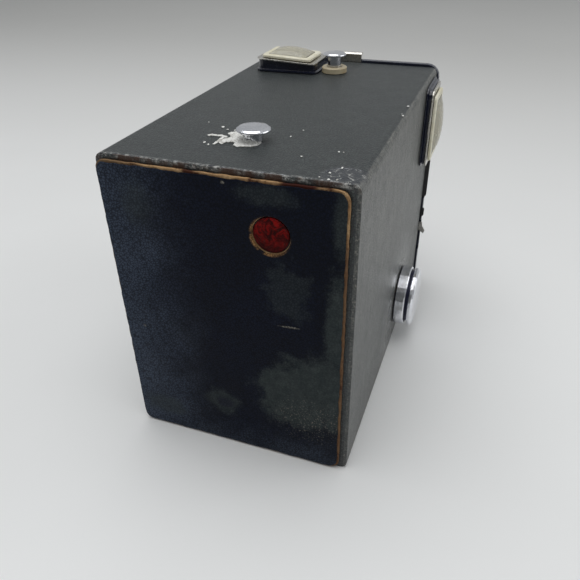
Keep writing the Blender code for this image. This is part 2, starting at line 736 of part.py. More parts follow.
def make_carrier_side(label, side):
    rear, waist, front = -0.0620, 0.0330, 0.0633
    low, step, high = 0.0034, 0.0734, 0.1046
    slot = 0.0040
    outline = [(rear, low), (front, low), (front, step), (waist, step), (waist, high), (rear, high)]
    if side > 0:
        around = [
            (SPOOL_Y + slot * math.sin(math.radians(a)), KNOB_Z + slot * math.cos(math.radians(a)))
            for a in range(0, 181, 30)
        ]
        outline += [(rear, KNOB_Z + slot)] + around + [(rear, KNOB_Z - slot)]
    holes = [circle(0.0018, (SPOOL_Y, SUPPLY_Z), 16)]
    for offset in (-ROLLER_OFFSET, ROLLER_OFFSET):
        holes.append(circle(0.0015, (ROLLER_Y, LENS_Z + offset), 16))
    if side < 0:
        holes.append(circle(0.0018, (SPOOL_Y, KNOB_Z), 16))
    near, far = sorted((side * SIDE_INNER, side * SIDE_OUTER))
    board = facing_x("carrier_side_" + label, [outline] + holes, near, far, "black_wood")
    inset = side * (SIDE_OUTER - 0.0002)
    start = (min(inset, side * 0.0305), SPOOL_Y, SUPPLY_Z)
    length = SIDE_OUTER - 0.0002 - 0.0305
    pin = rod("supply_pin_" + label, 0.0015, start, length, "brass", ALONG_X, 16)
    on_front(board, pin)


def make_rollers():
    inner, outer, half = 0.0015, 0.0030, 0.0323
    profile = [(outer, half), (outer, -half), (inner, -half), (inner, half)]
    for label, offset in (("upper", ROLLER_OFFSET), ("lower", -ROLLER_OFFSET)):
        place = (0, ROLLER_Y, LENS_Z + offset)
        roller = turned(label + "_roller", profile, "nickel", place, ALONG_X, 20, ring=True)
        start = (-0.0365, ROLLER_Y, LENS_Z + offset)
        pin = rod(label + "_roller_pin", 0.0012, start, 0.0730, "spring_steel", ALONG_X, 16)
        on_front(roller, pin)


def make_takeup_spool():
    half, flange, core, hole, depth = 0.0319, 0.0118, 0.0036, 0.0019, 0.0040
    upper = [(0, half - depth), (hole, half - depth), (hole, half), (flange, half),
             (flange, half - 0.0009), (core, half - 0.0009)]
    lower = [(radius, -height) for radius, height in reversed(upper)]
    place = (0, SPOOL_Y, KNOB_Z)
    spool = turned("takeup_spool", upper + lower, "blackened_steel", place, ALONG_X, 28)
    low = (half - 0.0014, SPOOL_Y - 0.0034, KNOB_Z - 0.0009)
    high = (half + 0.0020, SPOOL_Y + 0.0034, KNOB_Z + 0.0009)
    boolean(spool, block("key_slot", low, high, None))
    start = (-SIDE_OUTER + 0.0002, SPOOL_Y, KNOB_Z)
    pin = rod("takeup_pivot", 0.0015, start, 0.0080, "brass", ALONG_X, 16)
    on_front(spool, pin)


def make_camera():
    make_case()
    make_rear_panel()
    make_red_window()
    make_studs()
    make_finder("top", (FINDER_TOP_X, FINDER_Y, CASE_HEIGHT), (0, 0, 0), 0.0215, 0.0038, 0.05)
    place = (HALF_WIDTH, FINDER_Y, FINDER_SIDE_Z)
    make_finder("side", place, (0, math.pi / 2, 0), 0.0270, 0.0019, 0)
    make_winding()
    make_front_face()
    make_latch()
    make_controls()
    make_shutter()
    make_taking_lens()
    make_finder_boxes()
    on_front(make_cone(), make_gate())
    make_carrier_side("left", -1)
    make_carrier_side("right", 1)
    make_rollers()
    make_takeup_spool()


make_camera()
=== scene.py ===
"""Roll-film box camera on a pale table, seen from behind and above its right side."""

import math
import random

import bmesh
import bpy
from mathutils import Matrix, Vector, noise


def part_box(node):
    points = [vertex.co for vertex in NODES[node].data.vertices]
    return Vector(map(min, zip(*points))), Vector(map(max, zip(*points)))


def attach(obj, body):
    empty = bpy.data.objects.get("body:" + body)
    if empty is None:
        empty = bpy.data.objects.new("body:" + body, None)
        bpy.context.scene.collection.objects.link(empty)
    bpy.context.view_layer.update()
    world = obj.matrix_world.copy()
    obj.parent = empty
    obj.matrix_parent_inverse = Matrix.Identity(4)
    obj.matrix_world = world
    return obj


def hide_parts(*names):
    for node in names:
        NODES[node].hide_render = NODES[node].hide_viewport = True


MM = 0.001
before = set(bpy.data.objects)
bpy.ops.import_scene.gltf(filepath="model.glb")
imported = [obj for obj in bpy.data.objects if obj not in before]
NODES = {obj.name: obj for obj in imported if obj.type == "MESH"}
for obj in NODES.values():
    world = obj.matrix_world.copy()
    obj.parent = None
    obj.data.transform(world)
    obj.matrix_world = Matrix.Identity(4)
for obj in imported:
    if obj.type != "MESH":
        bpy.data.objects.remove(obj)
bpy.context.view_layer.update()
TOP_Z = 0.1080
WINDOW_X, WINDOW_Z = 0.0154, 0.0902
KNOB_Y, KNOB_Z = 0.0175, 0.0205
HALF_WIDTH = 0.0406
REAR_Y = -0.0685
PANEL_SKIN = 0.00045
PANEL_HOLE_RADIUS = 0.00585
COVERING_HOLE_RADIUS = 0.0060
HOLE_POINTS = 56
KNOB_GROOVE = (0.00475, 0.0059)
KNOB_FOOT = 0.0007
OUTLINE_STEP = 0.0003
OUTLINE_JITTER = 0.00022
WIDE_FACE_AREA = 2e-7
RIDGE_STEP = 0.00035
RIDGE_SIDES = 6
SHARP_ANGLE = math.radians(40)
BEVEL_ANGLE = math.radians(38)


# ------------------------------------------------------------- material helpers

def tone(red, green, blue):
    """Linear RGBA of a colour given in 0 to 255 display values."""
    def linear(value):
        value /= 255
        return value / 12.92 if value <= 0.04045 else ((value + 0.055) / 1.055) ** 2.4
    return (linear(red), linear(green), linear(blue), 1.0)


class Look:
    """One material, and the node helpers it is built with. Places are in metres, in the row frame."""

    def __init__(self, name):
        self.material = bpy.data.materials.new(name)
        self.material.use_nodes = True
        self.tree = self.material.node_tree
        self.shader = self.tree.nodes["Principled BSDF"]
        self.place = self.node("ShaderNodeTexCoord").outputs["Object"]
        self.height = None

    def node(self, kind, **settings):
        made = self.tree.nodes.new(kind)
        for key, value in settings.items():
            setattr(made, key, value)
        return made

    def feed(self, socket, value):
        if isinstance(value, bpy.types.NodeSocket):
            self.tree.links.new(value, socket)
        else:
            socket.default_value = value

    def math(self, operation, *values, clamp=False):
        made = self.node("ShaderNodeMath", operation=operation, use_clamp=clamp)
        for socket, value in zip(made.inputs, values):
            self.feed(socket, value)
        return made.outputs[0]

    def vector(self, operation, *values):
        made = self.node("ShaderNodeVectorMath", operation=operation)
        for socket, value in zip(made.inputs, values):
            self.feed(socket, value)
        return made.outputs["Value" if operation in ("LENGTH", "DOT_PRODUCT") else "Vector"]

    def axis(self, name):
        return self.node_of_axes().outputs[name]

    def node_of_axes(self):
        if not hasattr(self, "axes"):
            self.axes = self.node("ShaderNodeSeparateXYZ")
            self.feed(self.axes.inputs[0], self.place)
        return self.axes

    def span(self, value, low, high, to_low=0.0, to_high=1.0):
        """value mapped smoothly from low..high to to_low..to_high."""
        made = self.node("ShaderNodeMapRange", interpolation_type="SMOOTHSTEP")
        for socket, item in zip(made.inputs, (value, low, high, to_low, to_high)):
            self.feed(socket, item)
        return made.outputs[0]

    def stretched(self, scale):
        return self.vector("MULTIPLY", self.place, scale)

    def noise(self, scale, detail=3.0, rough=0.55, twist=0.0, place=None):
        made = self.node("ShaderNodeTexNoise")
        self.feed(made.inputs["Vector"], place or self.place)
        for label, value in (("Scale", scale), ("Detail", detail), ("Roughness", rough),
                             ("Distortion", twist)):
            made.inputs[label].default_value = value
        return made.outputs[0]

    def cells(self, scale, feature="F1", randomness=1.0, place=None, output="Distance"):
        made = self.node("ShaderNodeTexVoronoi", feature=feature)
        self.feed(made.inputs["Vector"], place or self.place)
        made.inputs["Scale"].default_value = scale
        made.inputs["Randomness"].default_value = randomness
        return made.outputs[output]

    def mix(self, factor, first, second):
        made = self.node("ShaderNodeMix", data_type="RGBA")
        self.feed(made.inputs[0], factor)
        self.feed(made.inputs[6], first)
        self.feed(made.inputs[7], second)
        return made.outputs[2]

    def patch(self, centre, radii, soft=0.35, ragged=0.5, grain=420.0, turn=0.0):
        """1 inside a ragged ellipsoid around centre, 0 outside it. centre and radii are in mm."""
        away = self.vector("SUBTRACT", self.place, tuple(value * MM for value in centre))
        if turn:
            spin = self.node("ShaderNodeVectorRotate", rotation_type="Y_AXIS")
            self.feed(spin.inputs["Vector"], away)
            spin.inputs["Angle"].default_value = math.radians(turn)
            away = spin.outputs[0]
        away = self.vector("DIVIDE", away, tuple(value * MM for value in radii))
        reach = self.vector("LENGTH", away)
        edge = self.math("MULTIPLY", self.math("SUBTRACT", self.noise(grain, 5.0, 0.65), 0.5),
                         ragged * 2)
        return self.span(self.math("ADD", reach, edge), 1 - soft, 1 + soft, 1.0, 0.0)

    def any_of(self, *masks):
        total = masks[0]
        for mask in masks[1:]:
            total = self.math("MAXIMUM", total, mask)
        return total

    def times(self, *values):
        total = values[0]
        for value in values[1:]:
            total = self.math("MULTIPLY", total, value)
        return total

    def specks(self, scale, size, share):
        """Small dots, in a random share of the cells."""
        made = self.node("ShaderNodeTexVoronoi", feature="F1")
        self.feed(made.inputs["Vector"], self.place)
        made.inputs["Scale"].default_value = scale
        dot = self.span(made.outputs["Distance"], size * 0.6, size, 1.0, 0.0)
        chosen = self.node("ShaderNodeSeparateColor")
        self.feed(chosen.inputs[0], made.outputs["Color"])
        return self.times(dot, self.math("LESS_THAN", chosen.outputs[0], share))

    def raise_by(self, value, depth):
        """Adds value, times depth in mm, to the bump height."""
        part = self.math("MULTIPLY", value, depth)
        self.height = part if self.height is None else self.math("ADD", self.height, part)

    def set(self, **values):
        for key, value in values.items():
            self.feed(self.shader.inputs[key.replace("_", " ")], value)

    def done(self):
        if self.height is not None:
            bump = self.node("ShaderNodeBump")
            bump.inputs["Strength"].default_value = 1.0
            bump.inputs["Distance"].default_value = MM
            self.feed(bump.inputs["Height"], self.height)
            self.tree.links.new(bump.outputs[0], self.shader.inputs["Normal"])
        return self.material


def leather_grain(look, depth=0.070, scale=1100.0):
    """Fine pebble grain with soft creases between the pebbles."""
    wobble = look.node("ShaderNodeTexNoise")
    look.feed(wobble.inputs["Vector"], look.place)
    wobble.inputs["Scale"].default_value = 700.0
    shift = look.vector("SCALE", wobble.outputs["Color"])
    shift.node.inputs["Scale"].default_value = 0.0006
    bent = look.vector("ADD", look.place, shift)
    pebble = look.cells(scale, "SMOOTH_F1", 0.95, bent)
    crease = look.span(look.cells(scale, "DISTANCE_TO_EDGE", 0.95, bent), 0.02, 0.22)
    look.raise_by(look.math("SUBTRACT", 1.0, pebble), depth * 0.6)
    look.raise_by(crease, depth)
    look.raise_by(look.noise(5200.0, 3.0, 0.6), depth * 0.4)
    look.raise_by(look.noise(85.0, 2.0, 0.5), depth * 1.2)
    return crease


# ------------------------------------------------------------- materials

def case_leather():
    """Slate-grey grained covering, worn pale along its edges, with painted shade towards the bottom and in
    its grain creases, and painted sheen and glints on its side.
    """
    look = Look("leatherette_case")
    crease = leather_grain(look)
    x, y, z = (look.axis(name) for name in "XYZ")
    mottled = look.noise(55.0, 5.0, 0.6)
    fine = look.noise(900.0, 4.0, 0.6)
    colour = look.mix(look.span(mottled, 0.3, 0.7), tone(34, 43, 44), tone(40, 49, 48))
    colour = look.mix(look.span(fine, 0.40, 0.75, 0.0, 0.75), colour, tone(72, 80, 78))
    # painted shade: darker in the grain creases
    colour = look.mix(look.math("SUBTRACT", 1.0, crease), colour, tone(26, 31, 34))
    # painted shade: darker towards the bottom
    low = look.times(look.span(z, 0.0, 0.016, 1.0, 0.0), 0.6)
    colour = look.mix(low, colour, tone(30, 29, 30))
    # painted sheen: faint upright light streaks on the side, brighter towards the top
    on_side = look.math("GREATER_THAN", x, HALF_WIDTH - 0.0012)
    streaks = look.noise(1.0, 5.0, 0.75, place=look.stretched((700.0, 700.0, 210.0)))
    sheen_streaks = look.times(on_side, look.span(streaks, 0.34, 0.78))
    sheen_higher = look.span(z, 0.030, 0.100, 0.60, 1.0)
    colour = look.mix(look.times(sheen_streaks, sheen_higher), colour, tone(104, 105, 101))
    # painted glints: fine pale specks on the side, brighter towards the top
    glint_specks = look.times(on_side, look.span(look.noise(1500.0, 4.0, 0.75), 0.50, 0.66), sheen_higher)
    colour = look.mix(look.times(glint_specks, 0.7), colour, tone(146, 143, 134))
    # bare paper fibre along the rear rim of the top, and at its right corner
    rim = look.times(look.span(y, REAR_Y + 0.0004, REAR_Y + 0.0018, 1.0, 0.0),
                     look.span(z, TOP_Z - 0.0016, TOP_Z - 0.0006))
    frayed = look.times(rim, look.span(look.noise(620.0, 6.0, 0.75), 0.44, 0.60))
    corner = look.patch((34.5, -63.5, 108.0), (6.5, 6.0, 3.0), 0.25, 0.55, 260.0)
    wrinkle = look.span(look.cells(420.0, "DISTANCE_TO_EDGE"), 0.0, 0.055, 1.0, 0.0)
    wrinkle = look.times(corner, wrinkle, look.span(look.noise(520.0, 4.0), 0.45, 0.62))
    bruise = look.times(corner, 0.5)
    colour = look.mix(bruise, colour, tone(58, 60, 68))
    edge_gap = look.math("MAXIMUM", look.math("SUBTRACT", HALF_WIDTH, look.math("ABSOLUTE", x)),
                         look.math("SUBTRACT", TOP_Z, z))
    long_edges = look.times(look.span(edge_gap, 0.0005, 0.0019, 1.0, 0.0),
                            look.span(look.noise(260.0, 6.0, 0.8), 0.44, 0.66))
    pale = look.any_of(frayed, wrinkle, look.times(long_edges, 0.30), look.specks(115.0, 0.050, 0.05))
    colour = look.mix(pale, colour, tone(176, 176, 172))
    # turned-in board shows brown where the covering has worn off the rear rim
    board = look.times(look.math("LESS_THAN", y, REAR_Y + 0.0004),
                       look.span(z, TOP_Z - 0.0026, TOP_Z - 0.0012),
                       look.span(look.noise(240.0, 4.0), 0.40, 0.62))
    colour = look.mix(board, colour, tone(60, 36, 22))
    inside = look.times(look.math("LESS_THAN", look.math("ABSOLUTE", x), HALF_WIDTH - 0.0020),
                        look.math("LESS_THAN", z, TOP_Z - 0.0020),
                        look.math("GREATER_THAN", z, 0.0020),
                        look.math("GREATER_THAN", y, REAR_Y + 0.0018))
    colour = look.mix(inside, colour, tone(24, 24, 25))
    look.raise_by(pale, 0.05)
    rough = look.span(look.noise(130.0, 4.0, 0.6), 0.3, 0.7, 0.40, 0.45)
    rough = look.math("ADD", rough, look.times(look.any_of(pale, inside), 0.4), clamp=True)
    polished = look.times(on_side, look.patch((40.6, 12.0, 22.0), (9.0, 24.0, 22.0), 0.6, 0.3, 90.0))
    rough = look.math("SUBTRACT", rough, look.times(polished, 0.20), clamp=True)
    look.set(Base_Color=colour, Roughness=rough, Specular_IOR_Level=0.55, Sheen_Weight=0.08)
    return look.done()


def panel_leather():
    """Blue-black covering of the back, with dull patches where it has been handled."""
    look = Look("leatherette_back")
    crease = leather_grain(look, 0.035)
    z = look.axis("Z")
    x = look.axis("X")
    mottled = look.noise(48.0, 4.0, 0.6)
    colour = look.mix(look.span(mottled, 0.32, 0.7), tone(12, 17, 31), tone(20, 26, 42))
    # painted sheen: lighter blue-grey towards the bottom and the left edge
    drift = look.math("MULTIPLY_ADD", look.noise(52.0, 6.0, 0.7), 0.044, -0.022)
    low_edge_sheen = look.span(look.math("ADD", z, drift), -0.004, 0.019, 0.85, 0.0)
    colour = look.mix(low_edge_sheen, colour, tone(58, 66, 80))
    left_edge_sheen = look.span(look.math("ADD", x, drift), -0.045, -0.006, 0.95, 0.0)
    colour = look.mix(left_edge_sheen, colour, tone(68, 78, 95))
    back = -70.1
    worn = look.any_of(
        look.times(look.patch((14.5, back, 102.2), (9.0, 9.0, 3.0), 0.4, 0.7), 0.55),
        look.times(look.patch((36.5, back, 97.0), (2.6, 9.0, 11.0), 0.5, 0.5), 0.75),
        look.times(look.patch((20.5, back, 71.5), (7.0, 9.0, 9.5), 0.25, 1.1, 170.0), 0.45),
        look.times(look.patch((36.0, back, 62.0), (4.0, 9.0, 19.0), 0.35, 0.6), 0.95),
        look.patch((25.0, back, 31.0), (16.5, 9.0, 15.0), 0.22, 0.75, 130.0),
        look.patch((33.0, back, 38.0), (8.0, 9.0, 13.0), 0.3, 0.6, 130.0),
        look.times(look.patch((-5.0, back, 20.0), (6.3, 9.0, 5.6), 0.3, 0.7, 260.0), 0.7),
        look.times(look.patch((-30.0, back, 10.5), (8.5, 9.0, 4.5), 0.4, 0.7, 260.0), 0.6),
        look.times(look.patch((-28.0, back, 94.0), (5.0, 9.0, 7.0), 0.6, 0.8), 0.5),
    )
    dull = look.mix(look.span(look.noise(300.0, 5.0, 0.7), 0.35, 0.7), tone(50, 57, 58), tone(64, 70, 70))
    colour = look.mix(worn, colour, dull)
    ring = look.times(look.patch((-4.6, back, 19.4), (3.0, 9.0, 2.2), 0.4, 0.6, 260.0), 0.7)
    colour = look.mix(ring, colour, tone(34, 36, 50))
    speckled = look.times(look.patch((28.5, back, 20.5), (13.0, 9.0, 8.5), 0.45, 0.6),
                          look.span(look.noise(1500.0, 3.0, 0.7), 0.56, 0.68))
    colour = look.mix(look.times(speckled, 0.75), colour, tone(140, 133, 124))
    round_window = look.vector("DIVIDE", look.vector("SUBTRACT", look.place,
                                                     (WINDOW_X - 0.0002, 0.0, WINDOW_Z - 0.0003)),
                               (1.0, 1e6, 1.0))
    reach = look.vector("LENGTH", round_window)
    # worn board showing round the window, painted lit on its lower left and fading towards its upper right
    worn_ring = look.times(look.span(reach, 0.0060, 0.0068, 1.0, 0.0),
                           look.span(look.noise(380.0, 4.0), 0.38, 0.55))
    lit_lower_left = look.span(look.math("ADD", x, z), WINDOW_X + WINDOW_Z - 0.006,
                           WINDOW_X + WINDOW_Z + 0.003, 1.0, 0.15)
    colour = look.mix(look.times(worn_ring, lit_lower_left), colour, tone(150, 112, 72))
    scratch = look.times(look.patch((20.5, back, 59.2), (3.0, 9.0, 0.35), 0.3, 0.5, 700.0, 4.0), 0.8)
    dots = look.any_of(look.patch((1.6, back, 104.6), (0.55, 9.0, 0.5), 0.3, 0.3),
                       look.times(look.patch((-32.8, back, 47.1), (0.5, 9.0, 0.5), 0.4, 0.3), 0.5),
                       look.times(look.specks(90.0, 0.035, 0.05), 0.35), scratch)
    colour = look.mix(look.times(dots, 0.8), colour, tone(150, 146, 136))
    # painted shade: darker in the grain creases, less so where worn
    furrow = look.times(look.math("SUBTRACT", 1.0, crease), look.math("MULTIPLY_ADD", worn, -0.5, 0.7))
    colour = look.mix(furrow, colour, tone(6, 8, 14))
    rough = look.math("ADD", look.span(mottled, 0.3, 0.7, 0.42, 0.55), look.times(worn, 0.18))
    look.raise_by(worn, -0.02)
    look.set(Base_Color=colour, Roughness=rough, Specular_IOR_Level=0.07)
    return look.done()


def board():
    """Layered brown board, seen where its covering has worn off the edge."""
    look = Look("worn_board")
    layers = look.noise(1.0, 4.0, 0.7, place=look.stretched((160.0, 5200.0, 160.0)))
    stain = look.noise(75.0, 5.0, 0.7)
    colour = look.mix(look.span(layers, 0.35, 0.7), tone(150, 114, 78), tone(200, 168, 126))
    dark = look.span(stain, 0.52, 0.64)
    colour = look.mix(dark, colour, tone(70, 38, 24))
    colour = look.mix(look.patch((24.0, -69.3, 106.6), (6.0, 4.0, 3.0), 0.4, 0.6), colour, tone(62, 26, 18))
    dirt = look.span(look.noise(900.0, 4.0, 0.7), 0.5, 0.75)
    colour = look.mix(look.times(dirt, 0.6), colour, tone(44, 30, 22))
    left = look.span(look.axis("X"), -0.036, -0.020, 0.7, 0.0)
    colour = look.mix(left, colour, tone(92, 74, 56))
    down = look.math("ADD", look.axis("Z"), look.math("MULTIPLY", look.noise(60.0, 4.0, 0.7), 0.05))
    browned = look.times(look.span(down, 0.108, 0.122, 1.0, 0.0), look.span(look.axis("X"), 0.034, 0.037))
    colour = look.mix(look.times(browned, 0.72), colour, tone(82, 54, 40))
    look.raise_by(layers, 0.12)
    look.raise_by(look.noise(1400.0, 4.0, 0.7), 0.06)
    look.set(Base_Color=colour, Roughness=0.86, Specular_IOR_Level=0.2)
    return look.done()


def metal(name, base, dull, rough, tarnish, scratch=0.02, brushed=None, pits=0.3):
    """Plated metal with fine scratches, uneven dullness and spots of tarnish."""
    look = Look(name)
    cloud = look.noise(240.0, 5.0, 0.65)
    colour = look.mix(look.span(cloud, 0.3, 0.72), base, dull)
    spots = look.span(look.noise(700.0, 5.0, 0.75), 0.58, 0.72)
    colour = look.mix(look.times(spots, pits), colour, tarnish)
    grain = look.noise(1.0, 3.0, 0.6, place=look.stretched(brushed or (4200.0, 4200.0, 260.0)))
    look.raise_by(grain, scratch)
    look.raise_by(spots, -0.02 * pits)
    uneven = look.span(cloud, 0.3, 0.75, rough * 0.75, rough * 1.5)
    uneven = look.math("ADD", uneven, look.times(spots, 0.25 * pits), clamp=True)
    look.set(Base_Color=colour, Roughness=uneven, Metallic=1.0)
    return look.done()


def knob_chrome():
    """Bright plate, with painted shade in its turned groove and at its foot."""
    look = Look("knob_chrome")
    cloud = look.noise(240.0, 5.0, 0.65)
    colour = look.mix(look.span(cloud, 0.3, 0.72), tone(251, 252, 255), tone(226, 228, 236))
    out = look.math("SUBTRACT", look.axis("X"), HALF_WIDTH)
    groove = look.times(look.math("GREATER_THAN", out, KNOB_GROOVE[0]),
                        look.math("LESS_THAN", out, KNOB_GROOVE[1]))
    foot = look.math("LESS_THAN", out, KNOB_FOOT)
    # painted shade: dark navy and less metallic in the groove and at the foot
    dark = look.any_of(groove, foot)
    colour = look.mix(dark, colour, tone(34, 38, 66))
    centre = look.vector("SUBTRACT", look.place, (0.0, KNOB_Y, KNOB_Z))
    flat = look.vector("MULTIPLY", centre, (0.0, 1.0, 1.0))
    rings = look.math("SINE", look.math("MULTIPLY", look.vector("LENGTH", flat), 9000.0))
    look.raise_by(rings, 0.0006)
    grime = look.times(look.span(look.noise(600.0, 5.0, 0.7), 0.57, 0.72), 0.25)
    colour = look.mix(grime, colour, tone(150, 140, 118))
    look.raise_by(look.noise(2600.0, 3.0), 0.004)
    rough = look.math("ADD", look.span(cloud, 0.3, 0.7, 0.15, 0.22), look.times(dark, 0.3))
    look.set(Base_Color=colour, Roughness=rough, Metallic=look.math("SUBTRACT", 1.0, look.times(dark, 0.8)))
    return look.done()


def paint(name, base, second, rough, chip=None, chips=0.66, coat=0.0, orange_peel=0.012):
    """Enamel or lacquer with a slight orange peel, grime and chips."""
    look = Look(name)
    cloud = look.noise(110.0, 5.0, 0.65)
    colour = look.mix(look.span(cloud, 0.32, 0.7), base, second)
    dust = look.times(look.span(look.noise(1500.0, 4.0, 0.7), 0.5, 0.8), 0.25)
    colour = look.mix(dust, colour, tone(110, 110, 108))
    flaw = look.span(look.noise(330.0, 6.0, 0.8), chips, chips + 0.05)
    if chip:
        colour = look.mix(flaw, colour, chip)
    look.raise_by(look.noise(900.0, 2.0, 0.4), orange_peel)
    look.raise_by(flaw, -0.03)
    uneven = look.math("ADD", look.span(cloud, 0.3, 0.7, rough * 0.8, rough * 1.3),
                       look.times(flaw, 0.3), clamp=True)
    look.set(Base_Color=colour, Roughness=uneven, Specular_IOR_Level=0.5, Coat_Weight=coat,
             Coat_Roughness=0.12)
    return look.done()


def red_celluloid():
    look = Look("red_celluloid")
    cloud = look.noise(180.0, 4.0, 0.6)
    colour = look.mix(look.span(cloud, 0.35, 0.7), tone(40, 3, 3), tone(76, 8, 8))
    # painted light: brighter red spots, stronger towards the top
    lit = look.span(look.noise(330.0, 5.0, 0.7, 1.2), 0.46, 0.66, 0.0, 0.8)
    upper = look.span(look.axis("Z"), WINDOW_Z - 0.006, WINDOW_Z + 0.006, 0.25, 1.0)
    colour = look.mix(look.times(lit, upper), colour, tone(150, 16, 14))
    dust = look.span(look.noise(1300.0, 4.0, 0.7), 0.55, 0.75)
    colour = look.mix(look.times(dust, 0.2), colour, tone(120, 70, 62))
    look.raise_by(look.noise(120.0, 2.0), 0.10)
    look.raise_by(look.noise(2600.0, 2.0), 0.006)
    rough = look.span(look.noise(420.0, 4.0), 0.3, 0.7, 0.16, 0.34)
    look.set(Base_Color=colour, Roughness=rough, Specular_IOR_Level=0.05)
    return look.done()


def glass(name, tint, rough=0.03, milky=0.0):
    """Old glass: faint tint, slight waviness, dust and smears."""
    look = Look(name)
    smear = look.noise(260.0, 4.0, 0.65)
    dust = look.span(look.noise(1700.0, 4.0, 0.7), 0.56, 0.7)
    colour = look.mix(look.times(dust, 0.25), tint, tone(196, 196, 188))
    look.raise_by(look.noise(140.0, 2.0), 0.03)
    uneven = look.math("ADD", look.span(smear, 0.35, 0.7, rough, rough * 3.0),
                       look.times(dust, 0.2))
    look.set(Base_Color=colour, Roughness=uneven, IOR=1.5, Transmission_Weight=1.0 - milky,
             Specular_IOR_Level=0.5)
    return look.done()


def mirror():
    look = Look("mirror_glass")
    bloom = look.span(look.noise(320.0, 6.0, 0.7), 0.52, 0.66)
    colour = look.mix(look.times(bloom, 0.7), tone(226, 228, 226), tone(120, 112, 96))
    look.raise_by(look.noise(200.0, 2.0), 0.01)
    look.set(Base_Color=colour, Metallic=1.0, Roughness=look.math("MULTIPLY_ADD", bloom, 0.3, 0.03))
    return look.done()


def wood():
    look = Look("black_wood")
    wavy = look.noise(60.0, 3.0, 0.6)
    along = look.vector("MULTIPLY", look.place, (900.0, 34.0, 620.0))
    rings = look.noise(1.0, 5.0, 0.65, 0.6, along)
    pores = look.span(look.noise(1.0, 3.0, 0.8, place=look.stretched((2600.0, 120.0, 2600.0))),
                      0.55, 0.7)
    colour = look.mix(look.span(rings, 0.35, 0.68), tone(30, 25, 22), tone(58, 46, 37))
    colour = look.mix(look.span(wavy, 0.4, 0.75, 0.0, 0.4), colour, tone(76, 60, 46))
    colour = look.mix(pores, colour, tone(18, 15, 14))
    look.raise_by(rings, 0.05)
    look.raise_by(pores, -0.08)
    look.set(Base_Color=colour, Roughness=look.span(rings, 0.3, 0.7, 0.55, 0.8),
             Specular_IOR_Level=0.3)
    return look.done()


def card():
    look = Look("black_card")
    fibre = look.noise(1.0, 5.0, 0.7, place=look.stretched((900.0, 900.0, 260.0)))
    colour = look.mix(look.span(fibre, 0.35, 0.7), tone(26, 26, 27), tone(44, 43, 42))
    look.raise_by(fibre, 0.04)
    look.set(Base_Color=colour, Roughness=0.88, Specular_IOR_Level=0.2)
    return look.done()


def torn_paper():
    """White fibre left where something was glued beside the rear stud."""
    look = Look("torn_paper")
    fibre = look.noise(1400.0, 5.0, 0.7)
    colour = look.mix(look.span(fibre, 0.35, 0.72), tone(244, 244, 240), tone(206, 206, 202))
    stain = look.span(look.noise(420.0, 5.0, 0.7), 0.52, 0.66)
    colour = look.mix(look.times(stain, 0.6), colour, tone(126, 120, 108))
    look.raise_by(fibre, 0.12)
    look.set(Base_Color=colour, Roughness=0.85, Specular_IOR_Level=0.25)
    return look.done()


LOOKS = {
    "case_leather": case_leather(),
    "panel_leather": panel_leather(),
    "board": board(),
    "torn_paper": torn_paper(),
    "enamel": paint("black_enamel", tone(14, 18, 38), tone(24, 30, 52), 0.22,
                    tone(92, 86, 74), 0.71, 0.35),
    "japan": paint("blackened_steel", tone(28, 28, 30), tone(42, 41, 41), 0.42,
                   tone(96, 86, 74), 0.70),
    "chrome": metal("chrome", tone(240, 241, 246), tone(214, 216, 222), 0.17, tone(122, 116, 106)),
    "knob": knob_chrome(),
    "nickel": metal("nickel", tone(218, 215, 208), tone(186, 183, 176), 0.26, tone(104, 94, 78),
                    0.03, None, 0.55),
    "brass": metal("brass", tone(196, 168, 108), tone(162, 132, 82), 0.33, tone(84, 66, 42),
                   0.03, None, 0.5),
    "collar": paint("aged_collar", tone(214, 202, 172), tone(186, 168, 132), 0.4,
                    tone(120, 96, 62), 0.60),
    "cream": paint("cream_enamel", tone(238, 234, 214), tone(214, 208, 180), 0.34,
                   tone(96, 84, 58), 0.66),
    "red": red_celluloid(),
    "finder_glass": glass("finder_glass", tone(226, 222, 204), 0.07, 0.45),
    "lens_glass": glass("lens_glass", tone(236, 240, 236)),
    "mirror": mirror(),
    "tin": metal("tinned_steel", tone(170, 171, 172), tone(132, 133, 134), 0.34,
                 tone(82, 70, 58), 0.03, (260.0, 4200.0, 4200.0), 0.6),
    "wood": wood(),
    "card": card(),
    "spring": metal("spring_steel", tone(132, 133, 137), tone(96, 96, 99), 0.30, tone(74, 56, 42)),
}

WEARS = {
    "case_leather": ["case_shell"],
    "enamel": ["top_finder_hood", "side_finder_hood", "front_shell", "front_plate"],
    "japan": ["window_ring", "latch_pin", "time_slide", "closeup_slide", "shutter_disc",
              "light_cone", "film_gate", "takeup_spool"],
    "chrome": ["rear_stud", "front_stud", "lens_bezel"],
    "knob": ["winding_knob"],
    "nickel": ["top_finder_lip", "side_finder_lip", "knob_plate", "winding_shaft", "front_latch",
               "release_lever", "upper_roller", "lower_roller"],
    "brass": ["winding_bush", "lever_pivot", "shutter_pivot", "lens_cell", "supply_pin_left",
              "supply_pin_right", "takeup_pivot"],
    "cream": ["top_finder_frame", "side_finder_frame"],
    "collar": ["front_stud_collar"],
    "red": ["red_window"],
    "finder_glass": ["top_finder_glass", "side_finder_glass"],
    "lens_glass": ["lens_window", "lens_element", "closeup_lens", "finder_lens_top",
                   "finder_lens_side"],
    "mirror": ["finder_mirror_top", "finder_mirror_side"],
    "tin": ["rear_stud_washer", "front_stud_washer", "shutter_board", "finder_box_top",
            "finder_box_side"],
    "wood": ["carrier_side_left", "carrier_side_right"],
    "card": ["lens_board"],
    "spring": ["lever_spring", "upper_roller_pin", "lower_roller_pin"],
}

for look_name, node_names in WEARS.items():
    for node_name in node_names:
        slots = NODES[node_name].data.materials
        slots.clear()
        slots.append(LOOKS[look_name])


